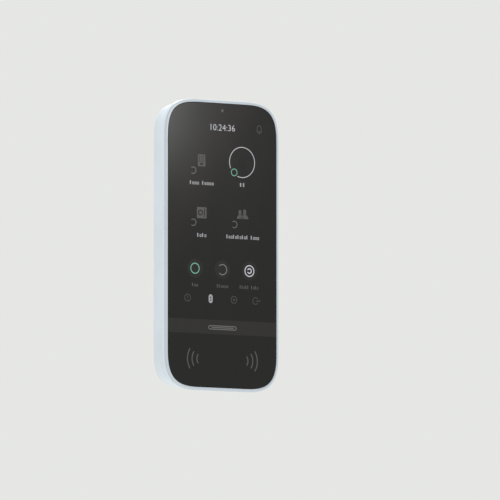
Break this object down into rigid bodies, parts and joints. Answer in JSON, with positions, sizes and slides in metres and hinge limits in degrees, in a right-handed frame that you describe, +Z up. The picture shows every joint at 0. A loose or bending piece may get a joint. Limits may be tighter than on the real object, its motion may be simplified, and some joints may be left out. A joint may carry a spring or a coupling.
{
  "type": "alarm keypad panel",
  "caption": "Slim wall-held touch keypad: dark rounded-square glass in a pale rim, light moulded housing with a battery bay, hooked on a screw-on wall bracket.",
  "frame": {"origin": "centre of the wall bracket's flat back face", "axes": "+Y into the wall, the screen faces -Y, +Z up, +X to the right of someone facing the screen"},
  "size_m": [0.0776, 0.02, 0.165],
  "materials": {
    "cover_glass": "polished black-backed cover glass",
    "bezel_silver": "satin pale silver lacquer",
    "housing_white": "fine moulded texture, cool white",
    "bracket_white": "fine moulded texture, white",
    "foam_tape": "closed-cell foam tape",
    "display": "dark polariser",
    "steel_tray": "pressed steel tray",
    "dark_plastic": "moulded dark grey",
    "flex_film": "amber polyimide film",
    "clear_plastic": "frosted light guide",
    "led_body": "white LED package",
    "sensor_window": "tinted sensor window",
    "soft_rubber": "soft black rubber",
    "circuit_board": "green solder mask",
    "ferrite": "ferrite-loaded sheet",
    "tinned_steel": "tin plated sheet",
    "chip_plastic": "moulded epoxy",
    "ivory_plastic": "natural nylon",
    "zinc_screw": "zinc plated steel",
    "black_screw": "black oxide steel",
    "nickel_strip": "nickel plated strip",
    "lead_red": "insulated wire",
    "spring_steel": "spring wire",
    "green_plastic": "moulded nylon",
    "white_nylon": "natural nylon",
    "button_plastic": "moulded grey",
    "cell_wrap": "plastic sleeve on a lithium cell"
  },
  "bodies": {
    "bracket": {"mounting_bracket": "bracket_white"},
    "keypad": {"cover_glass": "cover_glass", "glass_gasket": "foam_tape", "bezel_frame": "bezel_silver", "display_panel": "display", "display_backlight": "steel_tray", "display_carrier": "dark_plastic", "display_flex": "flex_film", "status_light_guide": "clear_plastic", "status_leds": "led_body", "light_sensor": "sensor_window", "sensor_boot": "soft_rubber", "sensor_board": "circuit_board", "reader_coil": "flex_film", "reader_ferrite": "ferrite", "main_board": "circuit_board", "shield_can": "tinned_steel", "processor_chips": "chip_plastic", "board_connectors": "ivory_plastic", "antenna_left": "tinned_steel", "antenna_right": "tinned_steel", "sounder": "chip_plastic", "terminal_block": "green_plastic", "terminal_screws": "zinc_screw", "tamper_switch": "chip_plastic", "power_switch": "chip_plastic", "battery_tray": "dark_plastic", "battery_cell_1": "cell_wrap", "battery_cell_2": "cell_wrap", "battery_cell_3": "cell_wrap", "battery_cell_4": "cell_wrap", "battery_contacts": "nickel_strip", "battery_leads": "lead_red", "board_screws": "zinc_screw", "rear_housing": "housing_white", "housing_screws": "black_screw"},
    "plunger": {"tamper_plunger": "white_nylon", "tamper_spring": "spring_steel"},
    "button": {"power_button": "button_plastic"},
    "screw": {"holding_screw": "zinc_screw"}
  },
  "joints": [
    {"name": "keypad_lift", "type": "slide", "parent": "bracket", "child": "keypad", "axis": [0, 0, 1], "range_m": [0, 0.008]},
    {"name": "tamper_travel", "type": "slide", "parent": "keypad", "child": "plunger", "axis": [0, -1, 0], "range_m": [0, 0.0008], "stiffness_N_per_m": 150, "springref_m": -0.003},
    {"name": "power_press", "type": "slide", "parent": "keypad", "child": "button", "axis": [0, -1, 0], "range_m": [0, 0.0005], "stiffness_N_per_m": 800, "springref_m": -0.0005},
    {"name": "screw_draw", "type": "slide", "parent": "bracket", "child": "screw", "axis": [0, 0, -1], "range_m": [0, 0.004]}
  ]
}
